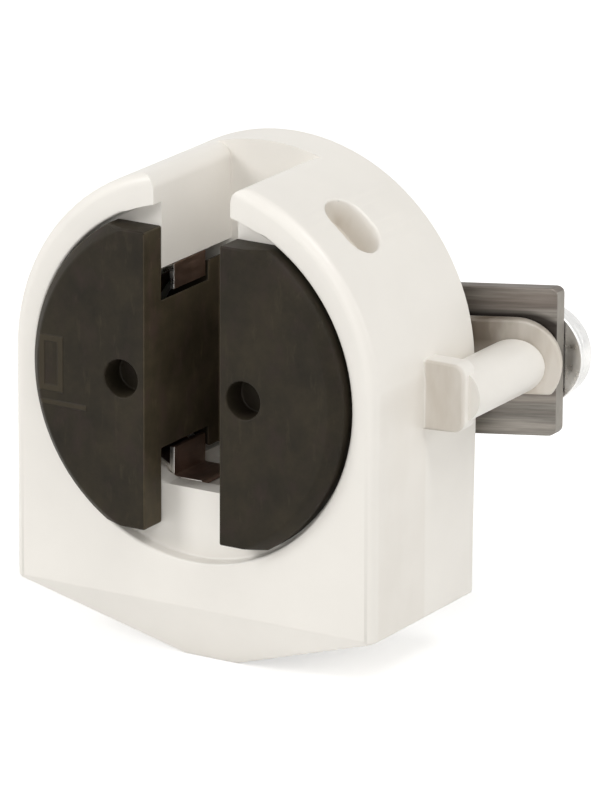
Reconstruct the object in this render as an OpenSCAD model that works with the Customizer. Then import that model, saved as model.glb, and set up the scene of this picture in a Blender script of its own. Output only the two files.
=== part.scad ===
// Rotary holder for a fluorescent tube with a two-pin cap, on a luminaire end plate.
// Millimetres. +X right, +Z up, the lamp side faces -Y. The origin lies on the rotor axis, in the
// plane of the housing's back rim, where the luminaire's plate bears.

/* [Housing] */
// Width across the flat sides, and diameter of the arched top
body_w = 28.5; // [26:0.1:34]
// Depth from the front face to the back rim
body_d = 13.2; // [12.4:0.1:18]
// Height of the arch centre above the rotor axis
arch_rise = 0.4; // [0:0.1:2]
// Depth of the lower side corners below the rotor axis
side_drop = 15.8; // [15:0.1:20]
// Depth of the lowest flat below the rotor axis
toe_drop = 20; // [18.6:0.1:26]
// Width of the lowest flat
toe_w = 4.2; // [2:0.1:10]
// Set-back of the lowest flat behind the front face
toe_setback = 2.4; // [0.5:0.1:4]
// Radius of the rounded front edges
edge_r = 0.8; // [0.3:0.1:1.5]
// Thickness of the back rim
rim_t = 3.3; // [2.6:0.1:4]
// Thickness of the wall behind the rotor
back_wall_t = 1.2; // [0.9:0.1:2]

/* [Rotor chamber] */
// Radius of the chamber round the rotor barrel
chamber_r = 8; // [7.8:0.1:8.8]
// Depth of the space between the back wall and the back rim
rear_d = 2.2; // [1.6:0.1:3]
// Depth of the sill in front of the contact feet, below the rotor axis
sill_drop = 7.6; // [7.4:0.05:7.6]
// Wall round the chamber beside the lightening pockets
chamber_wall = 1.6; // [1.2:0.1:2]
// Width of the entry channel in the arch
channel_w = 6; // [5.4:0.1:6.6]
// Radius of the channel's rounded mouth
mouth_r = 1; // [0.6:0.1:2.2]
// Wall between the flanges' recess and the lightening pockets
pocket_wall = 2.5; // [1.5:0.1:6]
// Side wall outside the lightening pockets
side_wall = 2; // [1.6:0.1:3]
// Centre of the shoulder dishes, behind the front face
dish_y = 5.5; // [4.5:0.1:7]
// Radius of the shoulder dishes
dish_r = 1.75; // [1:0.05:2]
// Depth of the shoulder dishes
dish_d = 1.8; // [0.8:0.1:2]
// Sideways step of the round cuts that make each dish oval
dish_step = 0.6; // [0.3:0.1:0.8]

/* [Rotor] */
// Radius of the two half-round flanges
flange_r = 12.15; // [11.5:0.05:12.6]
// Thickness of the flanges
flange_t = 2.25; // [1.6:0.05:3]
// How far the flanges stand out of the front face
flange_proud = 1.3; // [0.8:0.05:1.4]
// Height of the flats above and below the axis, where the slot opens
flange_flat = 10.4; // [9.6:0.1:11.2]
// Chamfer round the flanges
flange_chamfer = 0.7; // [0.3:0.1:1]
// Radius of the barrel
barrel_r = 6; // [5.8:0.05:6.1]
// Width of the slot for the lamp pins
slot_w = 5.9; // [5:0.05:6.2]
// Thickness of the web behind the slot
web_t = 1.3; // [0.8:0.1:2]
// Radius of the journal that turns in the back wall
journal_r = 3.2; // [2.6:0.05:3.6]
// Reach of the snap lip beyond the journal
lip_reach = 0.45; // [0.2:0.05:0.8]
// Length of the snap lip
lip_t = 0.8; // [0.6:0.1:1]
// Width of the cut that lets the snap lip spring
lip_slot = 1.4; // [0.8:0.1:2]
// Radius of the round hole in each flange
eye_r = 1.3; // [0.8:0.05:1.4]
// Distance of those holes from the axis
eye_x = 4.8; // [4.5:0.1:5]
// Depth of those holes
eye_d = 1.9; // [1:0.1:1.9]

/* [Contacts and terminals] */
// Thickness of the contact strip
strip_t = 0.4; // [0.3:0.05:0.4]
// Front edge of the contact band, behind the front face
band_y = 2.6; // [2:0.1:3.2]
// Width of the contact band along the rotor axis
band_w = 4; // [3:0.1:4.2]
// Width of the leg that runs down to the terminal
leg_w = 1.9; // [1.4:0.1:2.2]
// Inward length of the lips at the ends of the bands
hook_l = 1.6; // [0.6:0.1:1.6]
// Length of the flat feet at the lower ends of the bands
foot_l = 2.6; // [1.6:0.1:2.6]
// Depth of the wire entries below the rotor axis
wire_drop = 11; // [10.8:0.1:11.2]
// Distance of the wire entries from the middle
wire_x = 6.3; // [6:0.1:6.5]
// Radius of the wire entries
wire_r = 1.2; // [0.8:0.05:1.3]
// Inner side of each terminal chamber, from the middle
cell_in = 2.6; // [2.2:0.1:3]
// Front end of the terminal chambers, behind the front face
cell_y = 3; // [2.6:0.1:4]
// Height of the terminal chambers
cell_h = 3.6; // [3.2:0.1:3.8]
// Thickness of the terminal spring
spring_t = 0.3; // [0.2:0.05:0.4]
// Height of the terminal spring
spring_h = 2.7; // [2:0.1:3]

/* [Rear cover, studs and strap] */
// Distance of each stud from the middle
stud_x = 16.1; // [15.9:0.1:19]
// Radius of the studs
stud_r = 1.95; // [1.8:0.05:2.4]
// Front face of the ears, behind the front face
ear_y = 6.4; // [5:0.1:9]
// Thickness of the ears along the studs
ear_t = 1.6; // [1:0.1:2.5]
// How far the ears cover the studs beyond their axes
ear_cover = 1.1; // [0.8:0.1:1.8]
// Half height of the ears
ear_half = 2.35; // [2.2:0.05:3.2]
// Radius of the pilot hole in the studs
pilot_r = 1.25; // [0.9:0.05:1.3]
// Wall in front of the pilot hole
pilot_wall = 0.85; // [0.65:0.05:1.5]
// Length of the screws under their heads
screw_l = 9.5; // [8:0.1:10]
// Wall of the rear cover
cover_wall = 1.2; // [1:0.1:1.6]
// Distance the rear cover reaches behind the back rim
cover_reach = 0.9; // [0.8:0.1:1.4]
// Thickness of the cover's lugs
lug_t = 1; // [0.8:0.1:1.1]
// Radius of the lugs
lug_r = 3.2; // [2.8:0.1:3.6]
// Distance from the middle to the bends, where the strap and the cover's lugs start to lean back
bend_x = 11.3; // [11:0.1:12]
// Backward lean of the strap's ends and of the lugs, in degrees
bow = 25; // [20:1:27]
// Distance from a stud's axis to the strap's end
strap_end = 2.05; // [2:0.05:3]
// Height of the strap
strap_h = 10.4; // [8:0.1:12]
// Thickness of the strap
strap_t = 1; // [0.6:0.1:1.6]
// Radius of the strap's corners
strap_corner = 0.5; // [0.2:0.1:1]
// Radius of the screw heads
head_r = 3.3; // [2.6:0.1:3.6]
// Height of a screw head's straight side
head_side = 1; // [0.4:0.1:2]
// Height of a screw head's dome
head_dome = 1.5; // [0.8:0.1:2]
// Thickness of the washers
washer_t = 0.5; // [0.4:0.1:1]
// How far the washers stand out round the heads
washer_edge = 0.1; // [0.1:0.1:0.6]

/* [Clearances] */
// Radial gap between the flanges and their recess
flange_gap = 0.25; // [0.15:0.05:0.4]
// Radial gap between the journal and the back wall
journal_gap = 0.05; // [0.03:0.01:0.1]
// Axial gap at the flanges, the lip and other faces that seat
seat_gap = 0.05; // [0.03:0.01:0.1]
// Gap behind the barrel and behind moulded edges that slide together
free_gap = 0.3; // [0.2:0.05:0.4]
// Gap between the rear cover and the housing
cover_gap = 0.1; // [0.05:0.01:0.2]
// Radial gap between a screw's core and its pilot hole
screw_gap = 0.05; // [0.02:0.01:0.1]
// Radial gap between a screw and the pieces that it clamps
clamp_gap = 0.3; // [0.2:0.05:0.5]

/* [Hidden] */
$fn = 96;
white = "ivory";
black = [0.2, 0.18, 0.16];
bronze = [0.72, 0.5, 0.3];
steel = [0.62, 0.63, 0.62];
over = 1;
front = -body_d;
half_w = body_w / 2;
toe_slope = atan2(toe_drop - side_drop, half_w - toe_w / 2);
recess_r = flange_r + flange_gap;
flange_back = front + flange_t - flange_proud;
recess_back = flange_back + seat_gap;
wall_back = -rear_d;
chamber_back = wall_back - back_wall_t;
barrel_back = chamber_back - free_gap;
lip_y = wall_back + seat_gap;
band_front = front + band_y;
band_back = band_front + band_w;
band_r = chamber_r - seat_gap - strip_t;
leg_back = chamber_back - 3 * free_gap;
cell_out = band_r + strip_t + cover_gap;
cell_front = front + cell_y;
notch_x = channel_w / 2 + strip_t + cover_gap;
cover_inset = rim_t + cover_gap;
cover_in = cover_inset + cover_wall;
cover_floor = -corner_z(cover_in) + (half_w - cover_in - cell_out) * tan(toe_slope);
wire_z = min(wire_drop, cover_floor - free_gap - spring_h / 2);
cell_top = wire_z - cell_h / 2;
cover_front = wall_back + free_gap;
cover_back = cover_reach;
bow_back = cover_back + (stud_x - bend_x) * tan(bow);
bow_front = bow_back - lug_t / cos(bow);
strap_front = cover_back + seat_gap;
strap_tip = strap_front + (stud_x + strap_end - bend_x) * tan(bow) + strap_t / cos(bow);
washer_y = strap_tip + seat_gap;
head_y = washer_y + washer_t + seat_gap;
clamp_r = pilot_r + clamp_gap;
core_r = pilot_r - screw_gap;

// Stands a flat X-Z shape up and gives it depth from y0 to y1.
module along_y(y0, y1) {
    translate([0, y1, 0]) rotate([90, 0, 0]) linear_extrude(y1 - y0) children();
}

// Round bar along Y, at x.
module bar(x, y0, y1, r) {
    translate([x, y1, 0]) rotate([90, 0, 0]) cylinder(h = y1 - y0, r = r);
}

// Box from the low corner to the high corner.
module block(low, high) {
    translate(low) cube(high - low);
}

module both_sides() {
    children();
    mirror([1, 0, 0]) children();
}

// Height of the lower side corner and half width of the lowest flat, moved inwards by i.
function corner_z(i) = -side_drop + i * (1 - sin(toe_slope)) / cos(toe_slope);
function toe_x(i) = half_w
    - ((toe_drop - side_drop) * cos(toe_slope) + i * (1 - cos(toe_slope))) / sin(toe_slope);

// Arched outline of the housing seen from the front, moved inwards by i.
module outline(i) {
    translate([0, arch_rise]) circle(half_w - i);
    polygon([
        [half_w - i, arch_rise], [half_w - i, corner_z(i)], [toe_x(i), i - toe_drop],
        [-toe_x(i), i - toe_drop], [i - half_w, corner_z(i)], [i - half_w, arch_rise]]);
}

// Half section of the arch, which is also half of the plan of the straight sides.
module edge_section() {
    square([half_w - edge_r, body_d]);
    translate([0, edge_r]) square([half_w, body_d - edge_r]);
    translate([half_w - edge_r, edge_r]) circle(edge_r);
}

module body_block() {
    translate([0, front, arch_rise])
        rotate([-90, 0, 0]) rotate([0, 0, 180]) rotate_extrude(angle = 180) edge_section();
    intersection() {
        translate([0, front, -toe_drop]) linear_extrude(toe_drop + arch_rise) {
            edge_section();
            mirror([1, 0]) edge_section();
        }
        along_y(front - over, over) outline(0);
    }
    block([edge_r - half_w, front + edge_r, -side_drop / 2],
        [half_w - edge_r, -edge_r, arch_rise + edge_r]);
}

// Wedge that sets the lowest flat back behind the front face.
module toe_bevel() {
    lean = atan2(toe_setback, toe_drop - side_drop);
    translate([0, front, -side_drop]) rotate([lean, 0, 0])
        block([-half_w - over, -3 * toe_setback, -2 * toe_drop], [half_w + over, 0, 0]);
}

// Section of the entry channel, with a rounded mouth.
module channel_section() {
    mouth_x = channel_w / 2 + mouth_r;
    mouth_h = sqrt(pow(half_w - mouth_r, 2) - mouth_x * mouth_x);
    meet = half_w / (half_w - mouth_r);
    translate([-channel_w / 2, 0]) square([channel_w, half_w + over]);
    translate([0, arch_rise]) difference() {
        polygon([
            [-mouth_x, mouth_h], [mouth_x, mouth_h], [mouth_x * meet, mouth_h * meet],
            [mouth_x * meet, half_w + over], [-mouth_x * meet, half_w + over],
            [-mouth_x * meet, mouth_h * meet]]);
        for (x = [-mouth_x, mouth_x]) translate([x, mouth_h]) circle(mouth_r);
    }
}

// Oval dish in one shoulder.
module shoulder_dish() {
    dish_angle = 40.5;
    for (spread = [-dish_step, 0, dish_step])
        translate([0, front + dish_y, arch_rise]) rotate([0, dish_angle, 0])
            translate([spread, 0, half_w - dish_d])
                cylinder(h = dish_d + over, r1 = dish_r * 0.7, r2 = dish_r * 1.2);
}

// Open space of one terminal, with the slit that the contact leg comes through.
module cell() {
    block([cell_in, cell_front, -cell_top - cell_h], [cell_out, wall_back + over, -cell_top]);
    block([band_r - cover_gap, leg_back - leg_w - cover_gap, -cell_top - over],
        [cell_out, leg_back + cover_gap, 0]);
}

// Lightening pocket round one side of the chamber, open to the back.
module side_pocket() {
    pocket_in = chamber_r + chamber_wall;
    pocket_out = half_w - side_wall;
    intersection() {
        along_y(recess_back + pocket_wall, wall_back + over) difference() {
            circle(pocket_out);
            circle(pocket_in);
        }
        block([channel_w / 2 + chamber_wall, recess_back + pocket_wall, -side_drop / 3],
            [half_w, wall_back + over, half_w]);
    }
}

module stud() {
    ear_out = stud_x + ear_cover;
    along_y(front + ear_y, front + ear_y + ear_t) {
        translate([half_w - edge_r, -ear_half]) square([ear_out - half_w, 2 * ear_half]);
        translate([half_w, -ear_half + edge_r])
            square([ear_out - half_w, 2 * (ear_half - edge_r)]);
        for (z = [-1, 1]) translate([ear_out - edge_r, z * (ear_half - edge_r)]) circle(edge_r);
    }
    difference() {
        bar(stud_x, front + ear_y + ear_t / 2, bow_back, stud_r);
        translate([stud_x, bow_front - seat_gap, 0]) rotate([0, 0, bow])
            block([-2 * lug_r, 0, -lug_r], [2 * lug_r, 2 * lug_r, lug_r]);
    }
}

module housing() {
    color(white) difference() {
        union() {
            body_block();
            both_sides() stud();
        }
        toe_bevel();
        bar(0, front - over, recess_back, recess_r);
        intersection() {
            bar(0, front - over, chamber_back, chamber_r);
            block([-half_w, front - 2 * over, -sill_drop], [half_w, 0, half_w]);
        }
        block([-notch_x, band_front - cover_gap, -chamber_r], [notch_x, chamber_back, -chamber_r / 2]);
        along_y(front - over, chamber_back) channel_section();
        bar(0, chamber_back - over, wall_back + over, journal_r + journal_gap);
        along_y(wall_back, over) outline(rim_t);
        both_sides() {
            cell();
            side_pocket();
            shoulder_dish();
            bar(stud_x, front + ear_y + pilot_wall, bow_back, pilot_r);
        }
    }
}

// Lug that leans back with the strap's end and has a round end on the stud's axis.
module lug() {
    root_x = half_w - cover_in;
    lean_x = bend_x + (cover_gap - cover_back + lug_t / cos(bow)) / tan(bow);
    difference() {
        union() {
            translate([stud_x, bow_front, 0]) rotate([0, 0, bow]) bar(0, 0, lug_t, lug_r);
            translate([0, 0, -lug_r]) linear_extrude(2 * lug_r) polygon([
                [root_x, cover_gap], [lean_x, cover_gap],
                [stud_x, bow_front], [stud_x - lug_t * sin(bow), bow_front + lug_t * cos(bow)],
                [bend_x, cover_back], [root_x, cover_back]]);
        }
        bar(stud_x, bow_front - lug_t, bow_back + lug_t, clamp_r);
    }
}

module rear_cover() {
    color(white) difference() {
        union() {
            along_y(cover_front, cover_back) outline(cover_inset);
            both_sides() lug();
        }
        along_y(cover_front - over, cover_back - cover_wall) outline(cover_inset + cover_wall);
        both_sides() translate([0, 0, -wire_z])
            bar(wire_x, cover_back - cover_wall - over, cover_back + over, wire_r);
    }
}

module rotor() {
    slot_front = front - flange_proud - over;
    slot_back = barrel_back - web_t;
    color(black) difference() {
        union() {
            intersection() {
                union() {
                    translate([0, front - flange_proud + flange_chamfer, 0]) rotate([90, 0, 0])
                        cylinder(h = flange_chamfer, r1 = flange_r, r2 = flange_r - flange_chamfer);
                    bar(0, front - flange_proud + flange_chamfer, flange_back, flange_r);
                }
                block([-flange_r - over, slot_front, -flange_flat],
                    [flange_r + over, flange_back + over, flange_flat]);
            }
            bar(0, flange_back - over / 2, barrel_back, barrel_r);
            bar(0, band_back + free_gap, barrel_back, band_r - free_gap);
            bar(0, barrel_back - over / 2, lip_y + over / 2, journal_r);
            bar(0, lip_y, lip_y + lip_t, journal_r + lip_reach);
        }
        block([-slot_w / 2, slot_front, -flange_r], [slot_w / 2, slot_back, flange_r]);
        for (x = [-eye_x, eye_x])
            bar(x, slot_front, front - flange_proud + eye_d, eye_r);
        block([-lip_slot / 2, barrel_back, -flange_r], [lip_slot / 2, lip_y + lip_t + over, flange_r]);
    }
}

// Right-hand contact: a band round the barrel with a lip at each end, a flat foot below the lower
// pin, and a leg to the terminal.
module contact() {
    hook_x = channel_w / 2;
    hook_z = sqrt(pow(band_r + strip_t, 2) - pow(hook_x + strip_t, 2));
    ring_end = sqrt(band_r * band_r - hook_x * hook_x);
    along_y(band_front, band_back) {
        intersection() {
            difference() {
                circle(band_r + strip_t);
                circle(band_r);
            }
            translate([hook_x, -chamber_r]) square([chamber_r, 2 * chamber_r]);
        }
        translate([hook_x, ring_end - hook_l + strip_t / 2])
            square([strip_t, hook_z - ring_end + hook_l - strip_t / 2]);
        translate([hook_x, -band_r - strip_t])
            square([strip_t, band_r + strip_t / 2 - ring_end + hook_l]);
        translate([hook_x + strip_t - foot_l, -band_r - strip_t]) square([foot_l, strip_t]);
    }
    along_y(band_back - over, leg_back) intersection() {
        difference() {
            circle(band_r + strip_t);
            circle(band_r);
        }
        translate([0, -leg_w]) square([chamber_r, 2 * leg_w]);
    }
    block([band_r, leg_back - leg_w, -cell_top - cell_h + free_gap], [band_r + strip_t, leg_back, 0]);
}

// Right-hand terminal spring, a folded leaf that points at the contact leg.
module terminal_spring() {
    back_x = cell_in + seat_gap;
    fold_y = cover_back - cover_wall - free_gap;
    tip = [band_r - free_gap, leg_back - leg_w / 2];
    lean = atan2(fold_y - tip[1], tip[0] - back_x);
    shift = spring_t / sin(lean);
    translate([0, 0, -wire_z - spring_h / 2]) linear_extrude(spring_h) {
        translate([back_x, cell_front + free_gap])
            square([spring_t, fold_y - cell_front - free_gap]);
        polygon([[back_x, fold_y], [back_x, fold_y - shift / tan(90 - lean)],
            [tip[0] - shift, tip[1]], tip]);
    }
}

module strap_outline() {
    end_x = stud_x + strap_end;
    square([2 * (end_x - strap_corner), strap_h], center = true);
    square([2 * end_x, strap_h - 2 * strap_corner], center = true);
    for (x = [-1, 1], z = [-1, 1])
        translate([x * (end_x - strap_corner), z * (strap_h / 2 - strap_corner)]) circle(strap_corner);
}

// Strip bowed so that its ends lean back.
module strap() {
    run = stud_x + strap_end + over - bend_x;
    rise = run * tan(bow);
    color(steel) difference() {
        intersection() {
            along_y(strap_front - over, strap_tip + over) strap_outline();
            translate([0, strap_front, -strap_h]) linear_extrude(2 * strap_h) polygon([
                [-bend_x - run, rise], [-bend_x, 0], [bend_x, 0], [bend_x + run, rise],
                [bend_x + run, rise + strap_t / cos(bow)], [bend_x - strap_t * tan(bow / 2), strap_t],
                [strap_t * tan(bow / 2) - bend_x, strap_t], [-bend_x - run, rise + strap_t / cos(bow)]]);
        }
        both_sides() bar(stud_x, strap_front, strap_tip + over, clamp_r);
    }
}

// Right-hand screw: core, domed head and cross recess.
module screw() {
    cross_w = 0.8;
    cross_l = 3.2;
    cross_d = 1.2;
    head_top = head_y + head_side + head_dome;
    dome_r = (head_r * head_r + head_dome * head_dome) / (2 * head_dome);
    difference() {
        union() {
            bar(stud_x, head_y - screw_l, head_y + over / 2, core_r);
            intersection() {
                translate([stud_x, head_top - dome_r, 0]) sphere(dome_r);
                bar(stud_x, head_y, head_top + over, head_r);
            }
        }
        for (turn = [0, 90])
            translate([stud_x, head_top - cross_d, 0]) rotate([0, turn, 0])
                block([-cross_l / 2, 0, -cross_w / 2], [cross_l / 2, cross_d + over, cross_w / 2]);
    }
}

module washer() {
    washer_r = head_r + washer_edge;
    difference() {
        bar(stud_x, washer_y, washer_y + washer_t, washer_r);
        bar(stud_x, washer_y - over, washer_y + washer_t + over, clamp_r);
    }
}

module contact_left() { color(bronze) mirror([1, 0, 0]) contact(); }
module contact_right() { color(bronze) contact(); }
module terminal_spring_left() { color(steel) mirror([1, 0, 0]) terminal_spring(); }
module terminal_spring_right() { color(steel) terminal_spring(); }
module screw_left() { color(steel) mirror([1, 0, 0]) screw(); }
module screw_right() { color(steel) screw(); }
module washer_left() { color(steel) mirror([1, 0, 0]) washer(); }
module washer_right() { color(steel) washer(); }

housing();
rear_cover();
rotor();
contact_left();
contact_right();
terminal_spring_left();
terminal_spring_right();
strap();
screw_left();
screw_right();
washer_left();
washer_right();
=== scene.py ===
"""Dresses the rotary tube holder: rounded mouldings, turned and pressed metal, and a plain studio."""

import math

import bmesh
import bpy
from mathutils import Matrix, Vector


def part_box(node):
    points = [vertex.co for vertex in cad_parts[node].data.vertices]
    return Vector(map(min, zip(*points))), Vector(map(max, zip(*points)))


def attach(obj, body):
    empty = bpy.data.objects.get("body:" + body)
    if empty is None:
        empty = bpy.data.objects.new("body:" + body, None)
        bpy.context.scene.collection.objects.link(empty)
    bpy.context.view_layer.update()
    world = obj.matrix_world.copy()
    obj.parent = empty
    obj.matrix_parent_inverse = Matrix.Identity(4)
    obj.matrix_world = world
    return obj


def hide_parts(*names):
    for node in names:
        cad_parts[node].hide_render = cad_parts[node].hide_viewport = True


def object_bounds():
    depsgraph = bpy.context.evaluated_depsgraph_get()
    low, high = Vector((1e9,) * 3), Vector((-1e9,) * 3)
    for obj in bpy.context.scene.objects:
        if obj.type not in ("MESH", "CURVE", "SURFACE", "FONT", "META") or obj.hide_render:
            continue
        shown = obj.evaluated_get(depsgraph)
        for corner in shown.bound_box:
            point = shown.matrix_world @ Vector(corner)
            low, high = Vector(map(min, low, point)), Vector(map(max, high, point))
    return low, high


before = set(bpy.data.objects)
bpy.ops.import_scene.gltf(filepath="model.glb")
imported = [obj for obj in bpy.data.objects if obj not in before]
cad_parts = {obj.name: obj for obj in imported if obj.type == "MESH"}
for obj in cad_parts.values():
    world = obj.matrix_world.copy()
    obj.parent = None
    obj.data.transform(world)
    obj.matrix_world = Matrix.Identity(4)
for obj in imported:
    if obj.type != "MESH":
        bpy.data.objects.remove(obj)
CAD_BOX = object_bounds()

bl_info = {
    "name": "Rotary tube holder",
    "version": (1, 0, 0),
    "blender": (4, 5, 0),
    "location": "3D View > Sidebar > Tube holder",
    "description": "Models and finishes a rotary holder for a two-pin fluorescent tube",
    "category": "Object",
}

SIDES = ("left", "right")

# Places on the CAD model, in metres. Those across the holder are distances from its middle plane

FRONT = -0.0132
FLANGE_FACE = -0.0145
EAR_FRONT = -0.0068
RECESS_BACK = -0.0119
BODY_SIDE = 0.0142
CHANNEL_CORNER = 0.0052
CREASE_HEIGHT = -0.0158
TOE_TOP = -0.0154
ARCH_CENTRE = 0.0004
NEAR_ARCH = 0.0137
RECESS_R = 0.0124
CHAMBER_R = 0.008
DISH_INNER = 0.007
DISH_OUTER = 0.0115
DISH_LOW = 0.008
LUG_R = 0.0033
CLOSE = 0.0001

# Most values of a noise lie between these, and tints fade in over this many metres

NOISE_LOW, NOISE_HIGH = 0.3, 0.7
SOFT = 0.0002

# Picture and pixel of the rotor's axis, width of the sensor, and each lamp's name, place and size

PICTURE_WIDTH, PICTURE_HEIGHT = 600, 800
AXIS_PIXEL_X, AXIS_PIXEL_Y = 191.7, 384.9
SENSOR = 36
AIM = (0, -0.006, -0.002)
LAMPS = (
    ("key", (-0.42, -0.52, 0.36), 0.25),
    ("side", (0.66, 0.2, 0.28), 0.3),
    ("top", (0.38, -0.12, 0.62), 0.3),
    ("front", (0.26, -0.66, 0.26), 0.3),
)


# Selecting and shaping


def deselect():
    """Leaves edit mode and clears the selection."""
    if bpy.context.object and bpy.context.object.mode != "OBJECT":
        bpy.ops.object.mode_set(mode="OBJECT")
    bpy.ops.object.select_all(action="DESELECT")


def activate(piece):
    """Makes the piece the only selected object, and the active one."""
    deselect()
    piece.select_set(True)
    bpy.context.view_layer.objects.active = piece


def moulding(node, name):
    """Copies a CAD node as a new piece, with its corners merged and its flat faces joined."""
    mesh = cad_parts[node].data.copy()
    mesh.name = name
    mesh.materials.clear()
    piece = bpy.data.objects.new(name, mesh)
    bpy.context.scene.collection.objects.link(piece)
    activate(piece)
    bpy.ops.mesh.customdata_custom_splitnormals_clear()
    bpy.ops.object.mode_set(mode="EDIT")
    bpy.ops.mesh.select_all(action="SELECT")
    bpy.ops.mesh.remove_doubles(threshold=1e-6)
    bpy.ops.mesh.dissolve_limited(angle_limit=math.radians(0.4))
    bpy.ops.object.mode_set(mode="OBJECT")
    return piece


def round_edges(piece, width, segments=3, where=None, broad=None, broad_width=None):
    """Rounds the piece's sharp edges, as a mould or a tumbling barrel leaves them.

    where(place) is true where an edge is rounded; without it all are. broad(place) is true on
    blunter edges that get the broad width."""
    sharp, blunt, smooth = math.radians(35), math.radians(20), math.radians(40)
    widest = broad_width or width
    model = bmesh.new()
    model.from_mesh(piece.data)
    weight = model.edges.layers.float.new("bevel_weight_edge")
    for edge in model.edges:
        middle = (edge.verts[0].co + edge.verts[1].co) / 2
        if len(edge.link_faces) != 2:
            continue
        angle = edge.calc_face_angle(0)
        if broad and broad(middle) and angle > blunt:
            edge[weight] = 1
        elif (not where or where(middle)) and angle > sharp:
            edge[weight] = width / widest
    model.to_mesh(piece.data)
    model.free()
    activate(piece)
    bevel = piece.modifiers.new("rounded edges", "BEVEL")
    bevel.width = widest
    bevel.segments = segments
    bevel.limit_method = "WEIGHT"
    bevel.use_clamp_overlap = False
    bpy.ops.object.modifier_apply(modifier=bevel.name)
    bpy.ops.object.shade_smooth_by_angle(angle=smooth)
    even = piece.modifiers.new("even shading", "WEIGHTED_NORMAL")
    even.keep_sharp = True
    even.weight = 90
    bpy.ops.object.modifier_apply(modifier=even.name)


def cut_away(piece, corner, opposite):
    """Cuts the box between two corners out of the piece."""
    middle = [(a + b) / 2 for a, b in zip(corner, opposite)]
    deselect()
    bpy.ops.mesh.primitive_cube_add(size=1, location=middle)
    cutter = bpy.context.object
    cutter.scale = [abs(a - b) for a, b in zip(corner, opposite)]
    bpy.ops.object.transform_apply(location=True, rotation=True, scale=True)
    activate(piece)
    cut = piece.modifiers.new("cut away", "BOOLEAN")
    cut.operation = "DIFFERENCE"
    cut.solver = "EXACT"
    cut.object = cutter
    bpy.ops.object.modifier_apply(modifier=cut.name)
    bpy.data.meshes.remove(cutter.data)


def second_finish(piece, test):
    """Gives the faces that pass the test, by normal and centre, the piece's second material."""
    for face in piece.data.polygons:
        if test(face.normal, face.center):
            face.material_index = 1


def finish_piece(piece, materials, body, nodes):
    """Gives the piece its finishes and its CAD body, and hides the CAD nodes that it stands for."""
    marked = [face.material_index for face in piece.data.polygons]
    piece.data.materials.clear()
    for material in materials:
        piece.data.materials.append(material)
    for face, index in zip(piece.data.polygons, marked):
        face.material_index = index
    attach(piece, body)
    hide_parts(*nodes)


# Nodes of a material


def sheet(name):
    """A new node material, its node tree and its shader."""
    material = bpy.data.materials.new(name)
    material.use_nodes = True
    tree = material.node_tree
    return material, tree, tree.nodes["Principled BSDF"]


def place(tree, scale=(1, 1, 1)):
    """Object coordinates, stretched by the scale."""
    where = tree.nodes.new("ShaderNodeTexCoord")
    mapping = tree.nodes.new("ShaderNodeMapping")
    mapping.inputs["Scale"].default_value = scale
    tree.links.new(where.outputs["Object"], mapping.inputs["Vector"])
    return mapping.outputs["Vector"]


def noise(tree, vector, scale, detail=3.0, rough=0.5):
    """Cloudy noise, with about that many clouds to a metre."""
    node = tree.nodes.new("ShaderNodeTexNoise")
    node.inputs["Scale"].default_value = scale
    node.inputs["Detail"].default_value = detail
    node.inputs["Roughness"].default_value = rough
    tree.links.new(vector, node.inputs["Vector"])
    return node.outputs["Fac"]


def ramp(tree, value, stops):
    """Colours by value: stops are (position, colour) pairs."""
    node = tree.nodes.new("ShaderNodeValToRGB")
    elements = node.color_ramp.elements
    while len(elements) < len(stops):
        elements.new(0.5)
    for element, (position, colour) in zip(elements, stops):
        element.position = position
        element.color = (*colour[:3], 1)
    tree.links.new(value, node.inputs["Fac"])
    return node.outputs["Color"]


def remap(tree, value, low, high, out_low, out_high):
    """Turns the range from low to high into another one, and holds its ends."""
    node = tree.nodes.new("ShaderNodeMapRange")
    for key, number in (("From Min", low), ("From Max", high), ("To Min", out_low), ("To Max", out_high)):
        node.inputs[key].default_value = number
    tree.links.new(value, node.inputs["Value"])
    return node.outputs["Result"]


def calc(tree, operation, first, second=None):
    """One step of arithmetic on sockets or numbers."""
    node = tree.nodes.new("ShaderNodeMath")
    node.operation = operation
    for socket, value in zip(node.inputs, (first, second)):
        if isinstance(value, bpy.types.NodeSocket):
            tree.links.new(value, socket)
        elif value is not None:
            socket.default_value = value
    return node.outputs["Value"]


def parts_of(tree, vector):
    """The X, Y and Z of a place or a direction."""
    node = tree.nodes.new("ShaderNodeSeparateXYZ")
    tree.links.new(vector, node.inputs["Vector"])
    return [node.outputs[axis] for axis in "XYZ"]


def product(tree, first, *others):
    """All the sockets multiplied."""
    for other in others:
        first = calc(tree, "MULTIPLY", first, other)
    return first


def length_of(tree, first, second):
    """Length of the diagonal over two sides."""
    squares = [calc(tree, "MULTIPLY", side, side) for side in (first, second)]
    return calc(tree, "SQRT", calc(tree, "ADD", *squares))


def past(tree, value, edge):
    """Rises softly from 0 to 1 where the value passes the edge."""
    return remap(tree, value, edge - SOFT, edge + SOFT, 0, 1)


def seen_or_reflected(tree):
    """One for what is seen straight or in a reflection, and nought for light that falls on things."""
    path = tree.nodes.new("ShaderNodeLightPath")
    return calc(tree, "MAXIMUM", path.outputs["Is Camera Ray"], path.outputs["Is Glossy Ray"])


def mix(tree, factor, low, high):
    """Mixes two colours, given as sockets or as numbers."""
    node = tree.nodes.new("ShaderNodeMix")
    node.data_type = "RGBA"
    tree.links.new(factor, node.inputs["Factor"])
    first, second = [s for s in node.inputs if s.type == "RGBA"][:2]
    for socket, colour in ((first, low), (second, high)):
        if isinstance(colour, bpy.types.NodeSocket):
            tree.links.new(colour, socket)
        else:
            socket.default_value = (*colour[:3], 1)
    return [s for s in node.outputs if s.type == "RGBA"][0]


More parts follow.
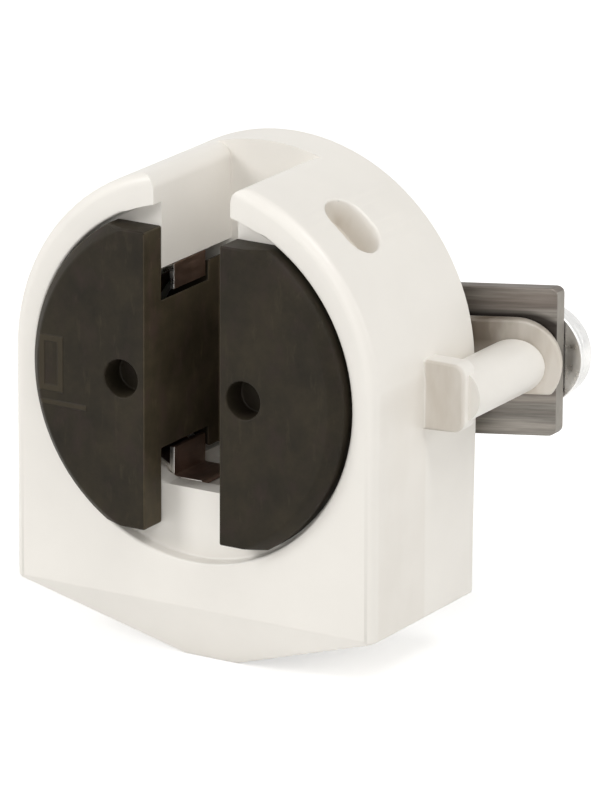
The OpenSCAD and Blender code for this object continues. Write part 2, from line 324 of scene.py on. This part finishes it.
def bump(tree, shader, layers):
    """Stacks bumps on the shader's normal: layers are (height, strength, distance)."""
    last = None
    for height, strength, distance in layers:
        node = tree.nodes.new("ShaderNodeBump")
        node.inputs["Strength"].default_value = strength
        node.inputs["Distance"].default_value = distance
        tree.links.new(height, node.inputs["Height"])
        if last:
            tree.links.new(last, node.inputs["Normal"])
        last = node.outputs["Normal"]
    tree.links.new(last, shader.inputs["Normal"])


def shade(colour, amount):
    """The colour made lighter or darker."""
    return tuple(min(1.0, c * amount) for c in colour[:3])


# Finishes


def white_plastic(name, painted_shade):
    """White moulded plastic: a fine spark-eroded grain, soft flow marks and a faint change of colour.

    Its second argument gives pairs of a mask and the colour of painted shade that it lays over the plastic."""
    colour, gloss, grain, variation = settings().white, 0.36, 0.14, 0.02
    material, tree, shader = sheet(name)
    where = place(tree)
    cloud = noise(tree, where, 170, detail=4)
    fine = noise(tree, where, 5200, detail=2)
    flow = noise(tree, place(tree, (1, 0.6, 0.35)), 620)
    low, high = shade(colour, 1 - variation), shade(colour, 1 + variation)
    tone = ramp(tree, cloud, [(NOISE_LOW, low), (NOISE_HIGH, high)])
    patchy = remap(tree, flow, 0.38, 0.58, 0.68, 1)
    # Painted shade laid over the plastic, made patchy by the flow marks
    for mask, shade_colour in painted_shade(tree, *parts_of(tree, where)):
        tone = mix(tree, product(tree, mask, patchy), tone, shade_colour)
    tree.links.new(tone, shader.inputs["Base Color"])
    rough = remap(tree, flow, NOISE_LOW, NOISE_HIGH, gloss - 0.06, gloss + 0.07)
    tree.links.new(rough, shader.inputs["Roughness"])
    shader.inputs["IOR"].default_value = 1.5
    bump(tree, shader, [(flow, 0.12, 0.00006), (fine, grain, 0.00002)])
    return material


def housing_painted_shade(tree, x, y, z):
    """Painted shade on the fronts of the ears, which the housing hides from the key light, and on the floors
    of the shoulder dishes, under their front walls.
    """
    out = calc(tree, "ABSOLUTE", x)
    stud, ear_end = 0.0163, 0.0188
    dish_front, dish_back = -0.01, -0.0044
    # Painted shade on the ears' fronts
    ear = product(
        tree,
        remap(tree, out, BODY_SIDE, BODY_SIDE + SOFT, 0, 1),
        remap(tree, out, stud, ear_end, 1, 0.5),
        remap(tree, y, EAR_FRONT + 0.0001, EAR_FRONT + 0.0004, 0.8, 0))
    from_arch = length_of(tree, x, calc(tree, "SUBTRACT", z, ARCH_CENTRE))
    # Painted shade on the dishes' floors
    dish = product(
        tree,
        remap(tree, from_arch, 0.0129, 0.0142, 0.9, 0),
        past(tree, out, DISH_INNER),
        past(tree, z, DISH_LOW),
        past(tree, y, dish_front),
        remap(tree, y, dish_back - SOFT, dish_back + SOFT, 1, 0))
    return [(ear, settings().shade_tint), (dish, settings().shade_tint)]


def lug_painted_shade(tree, x, y, z):
    """Painted shade on the lugs, which the housing hides from the light, darkest above the studs and beside
    the housing.
    """
    out = calc(tree, "ABSOLUTE", x)
    lug_start, lug_full, corner_end, corner_height = 0.0118, 0.0126, 0.0185, 0.0018
    lug = product(
        tree,
        remap(tree, out, lug_start, lug_full, 0, 1),
        remap(tree, calc(tree, "ABSOLUTE", z), LUG_R, LUG_R + 0.0003, 1, 0))
    # Darker painted shadow in the corner above the stud, beside the housing
    corner = product(
        tree,
        lug,
        remap(tree, out, BODY_SIDE, corner_end, 1, 0),
        remap(tree, z, 0, corner_height, 0, 1))
    return [(lug, settings().shade_tint), (corner, settings().painted_shade)]


def raised_mark(tree, where):
    """Height of a plain upright frame with a line under it, on the left flange's face."""
    x, y, z = parts_of(tree, where)
    frame_x, frame_z, frame_half_x, frame_half_z, stroke = -0.01035, 0.0002, 0.0009, 0.0019, 0.00045
    line_x, line_z, line_half_x, line_half_z = -0.0095, -0.00255, 0.0019, 0.00012
    inner_half_x, inner_half_z = frame_half_x - stroke, frame_half_z - stroke

    def bar(along, centre, half):
        off = calc(tree, "ABSOLUTE", calc(tree, "SUBTRACT", along, centre))
        return remap(tree, off, half, half + 0.00012, 1, 0)

    outer = product(tree, bar(x, frame_x, frame_half_x), bar(z, frame_z, frame_half_z))
    inner = product(tree, bar(x, frame_x, inner_half_x), bar(z, frame_z, inner_half_z))
    line = product(tree, bar(x, line_x, line_half_x), bar(z, line_z, line_half_z))
    face = remap(tree, y, FLANGE_FACE + 0.00015, FLANGE_FACE + 0.0001, 0, 1)
    return product(tree, calc(tree, "MAXIMUM", calc(tree, "SUBTRACT", outer, inner), line), face)


def dark_plastic(name, colour):
    """Dark moulded plastic with paler scuffs and a silky grain."""
    material, tree, shader = sheet(name)
    where = place(tree)
    cloud = noise(tree, where, 260, detail=5, rough=0.65)
    blotch = noise(tree, place(tree, (1, 1, 0.6)), 640, detail=4, rough=0.6)
    fine = noise(tree, where, 4200, detail=2)
    scuff = noise(tree, place(tree, (1, 1, 0.25)), 1500, detail=4, rough=0.65)
    low, high = shade(colour, 0.62), shade(colour, 1.5)
    tone = ramp(tree, cloud, [(NOISE_LOW, low), (0.5, colour), (NOISE_HIGH, high)])
    reddish = (colour[0] * 1.3, colour[1] * 1.1, colour[2] * 1.45)
    tinted = mix(tree, remap(tree, blotch, 0.5, 0.72, 0, 0.7), tone, reddish)
    worn = mix(tree, remap(tree, scuff, 0.58, 0.8, 0, 0.5), tinted, shade(colour, 2.4))
    mark = raised_mark(tree, where)
    rubbed = mix(tree, remap(tree, mark, 0, 1, 0, 0.36), worn, shade(colour, 3))
    tree.links.new(rubbed, shader.inputs["Base Color"])
    rough = remap(tree, cloud, NOISE_LOW, NOISE_HIGH, 0.4, 0.62)
    tree.links.new(rough, shader.inputs["Roughness"])
    shader.inputs["Specular IOR Level"].default_value = 0.14
    bump(tree, shader, [
        (mark, 0.8, 0.00012),
        (blotch, 0.2, 0.00008),
        (scuff, 0.16, 0.00005),
        (fine, 0.22, 0.00002)])
    return material


def contact_bronze(name, colour):
    """Rolled bronze that has browned, with fine marks along the strip."""
    material, tree, shader = sheet(name)
    cloud = noise(tree, place(tree), 420, detail=4)
    streak = noise(tree, place(tree, (1, 0.12, 1)), 3800)
    brown = ramp(tree, cloud, [(NOISE_LOW, shade(colour, 0.7)), (0.72, shade(colour, 1.25))])
    tree.links.new(brown, shader.inputs["Base Color"])
    rough = remap(tree, streak, NOISE_LOW, NOISE_HIGH, 0.34, 0.52)
    tree.links.new(rough, shader.inputs["Roughness"])
    shader.inputs["Metallic"].default_value = 1
    bump(tree, shader, [(streak, 0.15, 0.00001)])
    return material


def lug_painted_shadow(tree):
    """Mask of the painted shadow round each lug on the strap's front, flatter below the stud."""
    x, _, z = parts_of(tree, place(tree))
    facing = parts_of(tree, tree.nodes.new("ShaderNodeTexCoord").outputs["Normal"])[1]
    bend_start, bend_end, flatter_below = 0.0115, 0.0125, -1.6
    out = calc(tree, "ABSOLUTE", x)
    beyond = calc(tree, "MAXIMUM", calc(tree, "SUBTRACT", out, settings().lug_end), 0)
    height = calc(tree, "MAXIMUM", z, calc(tree, "MULTIPLY", z, flatter_below))
    return product(
        tree,
        remap(tree, length_of(tree, beyond, height), LUG_R, LUG_R + 0.0004, 0.9, 0),
        remap(tree, out, bend_start, bend_end, 0, 1),
        remap(tree, facing, -0.4, -0.1, 1, 0))


def strap_steel(name, colour, tarnish):
    """Zinc-plated strip: long rolling streaks, dull brown bands and a painted shadow round the lugs."""
    material, tree, shader = sheet(name)
    streak = noise(tree, place(tree, (0.04, 0.06, 1)), 2300, detail=5, rough=0.6)
    band = noise(tree, place(tree, (0.07, 0.1, 1)), 520, detail=4)
    cloud = noise(tree, place(tree), 260, detail=4)
    low, high = shade(colour, 0.5), shade(colour, 1.7)
    tone = ramp(tree, streak, [(NOISE_LOW, low), (0.5, colour), (NOISE_HIGH, high)])
    dull = mix(tree, remap(tree, band, 0.44, 0.68, 0, 0.65), tone, tarnish)
    # Painted shadow round the lugs, in a much darker copy of the tarnish colour
    with_lug_shadow = mix(tree, lug_painted_shadow(tree), dull, shade(tarnish, 0.12))
    tree.links.new(with_lug_shadow, shader.inputs["Base Color"])
    rough = remap(tree, cloud, NOISE_LOW, NOISE_HIGH, 0.36, 0.55)
    tree.links.new(rough, shader.inputs["Roughness"])
    shader.inputs["Metallic"].default_value = 0.85
    bump(tree, shader, [(streak, 0.22, 0.00002)])
    return material


def bright_steel(name, colour, rough):
    """Bright metal with faint turned marks and small dull spots."""
    material, tree, shader = sheet(name)
    ring = noise(tree, place(tree, (1, 6, 1)), 1600)
    cloud = noise(tree, place(tree), 520, detail=4)
    tone = ramp(tree, cloud, [(NOISE_LOW, shade(colour, 0.84)), (NOISE_HIGH, shade(colour, 1.06))])
    tree.links.new(tone, shader.inputs["Base Color"])
    dulled = remap(tree, ring, NOISE_LOW, NOISE_HIGH, rough - 0.07, rough + 0.1)
    tree.links.new(dulled, shader.inputs["Roughness"])
    shader.inputs["Metallic"].default_value = 1
    bump(tree, shader, [(ring, 0.1, 0.00001)])
    return material


def floor_paper(name, colour, lift):
    """Pale paper that the camera and shiny things see a little brighter, and that keeps the shadow."""
    material, tree, shader = sheet(name)
    grain = noise(tree, place(tree), 900)
    tone = ramp(tree, grain, [(NOISE_LOW, shade(colour, 0.99)), (NOISE_HIGH, colour)])
    tree.links.new(tone, shader.inputs["Base Color"])
    shader.inputs["Roughness"].default_value = 0.9
    shader.inputs["Specular IOR Level"].default_value = 0.1
    shader.inputs["Emission Color"].default_value = (1, 1, 1, 1)
    strength = calc(tree, "MULTIPLY", seen_or_reflected(tree), lift)
    tree.links.new(strength, shader.inputs["Emission Strength"])
    return material


def finish(make, name, *values):
    """The finish of that name, made on its first use."""
    return bpy.data.materials.get(name) or make(name, *values)


# Sizes and colours that a user would change


class HolderFinish(bpy.types.PropertyGroup):
    """Edges and colours of the holder's pieces."""

    moulded_edge: bpy.props.FloatProperty(
        name="Moulded edge", description="Radius of the plastic edges",
        default=0.00018, min=0.00005, max=0.0004, subtype="DISTANCE", unit="LENGTH")
    crease: bpy.props.FloatProperty(
        name="Front crease", description="Width of the soft turn above the housing's toe",
        default=0.0014, min=0.0002, max=0.002, subtype="DISTANCE", unit="LENGTH")
    lug_floor: bpy.props.FloatProperty(
        name="Lug floor", description="Height of the flat underside of the rear cover's lugs",
        default=-0.002, min=-0.0032, max=-0.0017, subtype="DISTANCE", unit="LENGTH")
    lug_end: bpy.props.FloatProperty(
        name="Lug end", description="Centre of the lugs' round ends, for the painted shadow round them",
        default=0.0161, min=0.014, max=0.018, subtype="DISTANCE", unit="LENGTH")
    pressed_edge: bpy.props.FloatProperty(
        name="Pressed edge", description="Radius of the sheet metal edges",
        default=0.00008, min=0.00002, max=0.00015, subtype="DISTANCE", unit="LENGTH")
    white: bpy.props.FloatVectorProperty(
        name="White plastic", description="Colour of the housing and the rear cover",
        default=(0.88, 0.85, 0.8), size=3, min=0, max=1, subtype="COLOR")
    # Painted shade on the white plastic of the ears, lugs and shoulder dishes
    shade_tint: bpy.props.FloatVectorProperty(
        name="Painted shade on white plastic", description="Colour of the painted shade on the white plastic of the ears, lugs and shoulder dishes",
        default=(0.63, 0.57, 0.495), size=3, min=0, max=1, subtype="COLOR")
    # Painted shadow in the corners of the lugs
    painted_shade: bpy.props.FloatVectorProperty(
        name="Painted shadow", description="Colour of the painted shadow in the lugs' corners",
        default=(0.15, 0.12, 0.09), size=3, min=0, max=1, subtype="COLOR")
    dark: bpy.props.FloatVectorProperty(
        name="Dark plastic", description="Colour of the rotor",
        default=(0.0235, 0.0188, 0.0117), size=3, min=0, max=1, subtype="COLOR")
    bronze: bpy.props.FloatVectorProperty(
        name="Bronze", description="Colour of the contact strips",
        default=(0.36, 0.25, 0.2), size=3, min=0, max=1, subtype="COLOR")
    sheared: bpy.props.FloatVectorProperty(
        name="Sheared edges", description="Colour of the contact strips' bright cut edges",
        default=(0.93, 0.9, 0.85), size=3, min=0, max=1, subtype="COLOR")
    strip: bpy.props.FloatVectorProperty(
        name="Strip steel", description="Colour of the strap",
        default=(0.2, 0.186, 0.166), size=3, min=0, max=1, subtype="COLOR")
    tarnish: bpy.props.FloatVectorProperty(
        name="Tarnish", description="Colour of the strap's dull bands",
        default=(0.16, 0.12, 0.1), size=3, min=0, max=1, subtype="COLOR")
    bright: bpy.props.FloatVectorProperty(
        name="Bright steel", description="Colour of the screws and washers",
        default=(0.82, 0.815, 0.8), size=3, min=0, max=1, subtype="COLOR")


class HolderStudio(bpy.types.PropertyGroup):
    """Camera and light of the studio."""

    yaw: bpy.props.FloatProperty(
        name="Yaw", description="How far the camera stands to the right of the front",
        default=math.radians(32), subtype="ANGLE")
    pitch: bpy.props.FloatProperty(
        name="Pitch", description="How far the camera looks down",
        default=math.radians(16.9), subtype="ANGLE")
    distance: bpy.props.FloatProperty(
        name="Distance", description="From the housing's front to the camera",
        default=0.5, min=0.1, subtype="DISTANCE", unit="LENGTH")
    focal: bpy.props.FloatProperty(
        name="Focal length", description="Focal length, in picture heights",
        default=9.3625, min=1)
    key: bpy.props.FloatProperty(
        name="Key light", description="Power of the light from the front left", default=2.15, min=0,
        unit="POWER")
    side: bpy.props.FloatProperty(
        name="Side light", description="Power of the light from the right, a little behind",
        default=0.75, min=0, unit="POWER")
    top: bpy.props.FloatProperty(
        name="Top light", description="Power of the light from the upper right", default=1.75, min=0,
        unit="POWER")
    front: bpy.props.FloatProperty(
        name="Front light", description="Power of the light from the front", default=0.6, min=0,
        unit="POWER")
    sky: bpy.props.FloatProperty(
        name="Surroundings", description="Strength of the even light from all round", default=0.38, min=0)


def settings():
    return bpy.context.scene.holder_finish


# Pieces


def housing_edge(at):
    """True on the housing's long outer edges, the recess rim, the ears' fronts and the shoulder dishes."""
    out = abs(at.x)
    turned = math.hypot(at.x, at.z)
    round_rim = abs(turned - RECESS_R) < CLOSE or abs(turned - CHAMBER_R) < CLOSE
    beside_channel = out > CHANNEL_CORNER or at.z < 0
    recess = beside_channel and at.y < RECESS_BACK and round_rim
    toe = at.z < TOE_TOP
    rim = at.y > -CLOSE
    ear = out > BODY_SIDE and abs(at.y - EAR_FRONT) < CLOSE
    dish_front, dish_back = -0.011, -0.004
    on_shoulder = DISH_INNER < out < DISH_OUTER and at.z > DISH_LOW and dish_front < at.y < dish_back
    dish = on_shoulder and math.hypot(at.x, at.z - ARCH_CENTRE) > NEAR_ARCH
    return recess or toe or rim or ear or dish


def front_crease(at):
    """True on the blunt crease where the housing's front starts to lean back above the toe."""
    very_close, crease_end = CLOSE / 2, 0.0134
    on_crease = abs(at.z - CREASE_HEIGHT) < very_close and abs(at.y - FRONT) < very_close
    return on_crease and abs(at.x) < crease_end


class HOLDER_OT_housing(bpy.types.Operator):
    """Housing: white moulding with softened edges"""

    bl_idname = "holder.housing"
    bl_label = "Housing"

    def execute(self, context):
        piece = moulding("housing", "housing_moulding")
        round_edges(piece, settings().moulded_edge, where=housing_edge, broad=front_crease,
                    broad_width=settings().crease)
        finish_piece(piece, [white_plastic("white moulded plastic", housing_painted_shade)],
                     "holder", ["housing"])
        return {"FINISHED"}


class HOLDER_OT_rear_cover(bpy.types.Operator):
    """Rear cover: white moulding with its two lugs"""

    bl_idname = "holder.rear_cover"
    bl_label = "Rear cover"

    def execute(self, context):
        piece = moulding("rear_cover", "rear_cover_moulding")
        low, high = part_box("rear_cover")
        cut_inner, cut_outer, cut_below, margin = 0.0143, 0.0205, -0.004, 0.001
        for side in (-1, 1):
            cut_away(piece, (side * cut_inner, low.y - margin, cut_below),
                     (side * cut_outer, high.y + margin, settings().lug_floor))
        round_edges(piece, settings().moulded_edge)
        finish_piece(piece, [white_plastic("white cover plastic", lug_painted_shade)],
                     "holder", ["rear_cover"])
        return {"FINISHED"}


def in_slot(normal, centre):
    """True on the walls and the floor of the rotor's slot, which get a lighter copy of the dark plastic as
    painted light.
    """
    slot_side, slot_front, slot_back = 0.003, -0.0128, -0.0045
    return abs(centre.x) < slot_side and normal.y < 0.5 and slot_front < centre.y < slot_back


class HOLDER_OT_rotor(bpy.types.Operator):
    """Rotor: dark moulding with two flanges and a slotted barrel"""

    bl_idname = "holder.rotor"
    bl_label = "Rotor"

    def execute(self, context):
        piece = moulding("rotor", "rotor_moulding")
        second_finish(piece, in_slot)
        round_edges(piece, settings().moulded_edge * 0.8)
        finish_piece(piece, [
            finish(dark_plastic, "dark moulded plastic", settings().dark),
            # Painted light: the slot's walls and floor in a lighter copy of the dark plastic
            finish(dark_plastic, "dusty dark plastic", shade(settings().dark, 2.8))],
            "rotor", ["rotor"])
        return {"FINISHED"}


class HOLDER_OT_contacts(bpy.types.Operator):
    """Contacts: bronze strips with bright cut edges, one on each side"""

    bl_idname = "holder.contacts"
    bl_label = "Contacts"

    def execute(self, context):
        for side in SIDES:
            piece = moulding(f"contact_{side}", f"contact_strip_{side}")
            second_finish(piece, lambda normal, centre: abs(normal.y) > 0.9)
            round_edges(piece, settings().pressed_edge, 2)
            finish_piece(piece, [
                finish(contact_bronze, "contact bronze", settings().bronze),
                finish(bright_steel, "sheared bronze", settings().sheared, 0.3)],
                "holder", [f"contact_{side}"])
        return {"FINISHED"}


class HOLDER_OT_terminal_springs(bpy.types.Operator):
    """Terminal springs: folded steel leaves that clamp the wires"""

    bl_idname = "holder.terminal_springs"
    bl_label = "Terminal springs"

    def execute(self, context):
        for side in SIDES:
            piece = moulding(f"terminal_spring_{side}", f"terminal_leaf_{side}")
            round_edges(piece, settings().pressed_edge * 0.7, 2)
            finish_piece(piece, [finish(bright_steel, "spring steel", shade(settings().bright, 0.75), 0.32)],
                         "holder", [f"terminal_spring_{side}"])
        return {"FINISHED"}


class HOLDER_OT_strap(bpy.types.Operator):
    """Strap: zinc-plated strip with sheared edges"""

    bl_idname = "holder.strap"
    bl_label = "Strap"

    def execute(self, context):
        piece = moulding("strap", "strap_strip")
        second_finish(piece, lambda normal, centre: abs(normal.x) > 0.9)
        round_edges(piece, settings().pressed_edge * 1.5)
        finish_piece(piece, [
            finish(strap_steel, "zinc-plated strip", settings().strip, settings().tarnish),
            finish(bright_steel, "sheared zinc strip", shade(settings().strip, 1.4), 0.4)],
            "holder", ["strap"])
        return {"FINISHED"}


class HOLDER_OT_screws(bpy.types.Operator):
    """Screws and washers: domed heads with a cross recess, over flat washers"""

    bl_idname = "holder.screws"
    bl_label = "Screws and washers"

    def execute(self, context):
        for side in SIDES:
            for node, name in (("screw", "domed_screw"), ("washer", "flat_washer")):
                piece = moulding(f"{node}_{side}", f"{name}_{side}")
                round_edges(piece, settings().pressed_edge * 1.2)
                finish_piece(piece, [finish(bright_steel, "bright plated steel", settings().bright, 0.3)],
                             "holder", [f"{node}_{side}"])
        return {"FINISHED"}


# Studio


def lamp(name, place_at, size, power):
    """A soft square lamp that looks at the holder."""
    data = bpy.data.lights.new(name, "AREA")
    data.size = size
    data.energy = power
    obj = bpy.data.objects.new(name, data)
    bpy.context.scene.collection.objects.link(obj)
    obj.location = place_at
    obj.rotation_mode = "QUATERNION"
    obj.rotation_quaternion = (Vector(AIM) - Vector(place_at)).to_track_quat("-Z", "Y")


def lay_floor():
    """Lays the paper under the holder's lowest point."""
    deselect()
    bpy.ops.mesh.primitive_plane_add(size=6, location=(0, 0, CAD_BOX[0].z))
    floor = bpy.context.object
    floor.name = "floor"
    bpy.ops.object.transform_apply(location=True, rotation=True, scale=True)
    floor.data.materials.append(floor_paper("floor paper", (0.86, 0.86, 0.86), 0.5))


def light_surroundings(scene, strength):
    """Surroundings that look white and give an even, slightly warm light."""
    world = bpy.data.worlds.new("surroundings")
    scene.world = world
    world.use_nodes = True
    tree = world.node_tree
    back = tree.nodes["Background"]
    seen = seen_or_reflected(tree)
    tree.links.new(mix(tree, seen, (1, 0.98, 0.93), (1, 1, 1)), back.inputs["Color"])
    tree.links.new(remap(tree, seen, 0, 1, strength, 1), back.inputs["Strength"])


def set_camera(scene, studio):
    """Stands the camera where the photograph was taken, turned so that the axis falls on its pixel."""
    data = bpy.data.cameras.new("camera")
    camera = bpy.data.objects.new("camera", data)
    scene.collection.objects.link(camera)
    scene.camera = camera
    data.sensor_width = SENSOR
    data.lens = SENSOR * studio.focal
    data.clip_start, data.clip_end = 0.01, 20
    forward = Vector((-math.sin(studio.yaw) * math.cos(studio.pitch),
                      math.cos(studio.yaw) * math.cos(studio.pitch), -math.sin(studio.pitch)))
    camera.location = Vector((0, FRONT, 0)) - forward * studio.distance
    right = AXIS_PIXEL_X - PICTURE_WIDTH / 2
    above = PICTURE_HEIGHT / 2 - AXIS_PIXEL_Y
    seen_at = Vector((right, above, -PICTURE_HEIGHT * studio.focal))
    turn = seen_at.rotation_difference(Vector((0, 0, -1)))
    camera.rotation_mode = "QUATERNION"
    camera.rotation_quaternion = forward.to_track_quat("-Z", "Y") @ turn


class HOLDER_OT_studio(bpy.types.Operator):
    """Studio: floor, surroundings, lamps and camera"""

    bl_idname = "holder.studio"
    bl_label = "Studio"

    def execute(self, context):
        studio = context.scene.holder_studio
        lay_floor()
        light_surroundings(context.scene, studio.sky)
        for name, place_at, size in LAMPS:
            lamp(f"{name} lamp", place_at, size, getattr(studio, name))
        set_camera(context.scene, studio)
        context.scene.view_settings.view_transform = "Standard"
        return {"FINISHED"}


class HOLDER_PT_pieces(bpy.types.Panel):
    """Lists the holder's pieces and the studio"""

    bl_label = "Tube holder"
    bl_idname = "HOLDER_PT_pieces"
    bl_space_type = "VIEW_3D"
    bl_region_type = "UI"
    bl_category = "Tube holder"

    def draw(self, context):
        for group in (context.scene.holder_finish, context.scene.holder_studio):
            box = self.layout.box()
            for key in group.__annotations__:
                box.prop(group, key)
        for step in STEPS:
            self.layout.operator(step.bl_idname)


STEPS = (HOLDER_OT_housing, HOLDER_OT_rear_cover, HOLDER_OT_rotor, HOLDER_OT_contacts,
         HOLDER_OT_terminal_springs, HOLDER_OT_strap, HOLDER_OT_screws, HOLDER_OT_studio)
CLASSES = (HolderFinish, HolderStudio, *STEPS, HOLDER_PT_pieces)


def register():
    for cls in CLASSES:
        bpy.utils.register_class(cls)
    bpy.types.Scene.holder_finish = bpy.props.PointerProperty(type=HolderFinish)
    bpy.types.Scene.holder_studio = bpy.props.PointerProperty(type=HolderStudio)


def unregister():
    del bpy.types.Scene.holder_studio
    del bpy.types.Scene.holder_finish
    for cls in reversed(CLASSES):
        bpy.utils.unregister_class(cls)


def main():
    register()
    bpy.ops.holder.housing()
    bpy.ops.holder.rear_cover()
    bpy.ops.holder.rotor()
    bpy.ops.holder.contacts()
    bpy.ops.holder.terminal_springs()
    bpy.ops.holder.strap()
    bpy.ops.holder.screws()
    bpy.ops.holder.studio()
    deselect()


if __name__ == "__main__":
    main()
